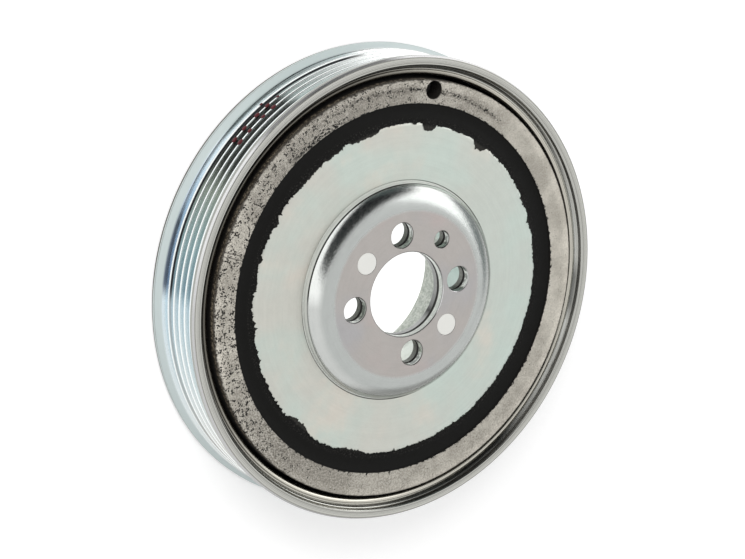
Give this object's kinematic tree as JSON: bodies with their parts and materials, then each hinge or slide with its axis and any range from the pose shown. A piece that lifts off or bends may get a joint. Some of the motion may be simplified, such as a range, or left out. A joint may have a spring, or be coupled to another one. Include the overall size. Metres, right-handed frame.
{
  "type": "harmonic balancer",
  "caption": "Crankshaft pulley with a grooved belt rim, a bolt-on centre and a rubber-bonded iron ring that damps torsional vibration.",
  "frame": {"origin": "centre of the back face of the belt rim, on the crankshaft axis", "axes": "+Z along the crankshaft axis, away from the engine; +X through one bolt hole; +Y through the next bolt hole, so that the dowel hole lies between them"},
  "size_m": [0.165, 0.165, 0.0332],
  "materials": {
    "zinc_steel": "zinc plated, pressed and turned",
    "zinc_rim": "zinc plated, rolled and turned, with a faint blue tint",
    "rubber_black": "satin moulded rubber",
    "cast_iron_bare": "bare, turned, with dark pits",
    "plug_white": "satin moulded"
  },
  "bodies": {
    "root": {"pulley": "zinc_rim", "hub_plate": "zinc_steel", "damper_rubber": "rubber_black", "inertia_ring": "cast_iron_bare", "joining_plugs": "plug_white"}
  },
  "joints": []
}
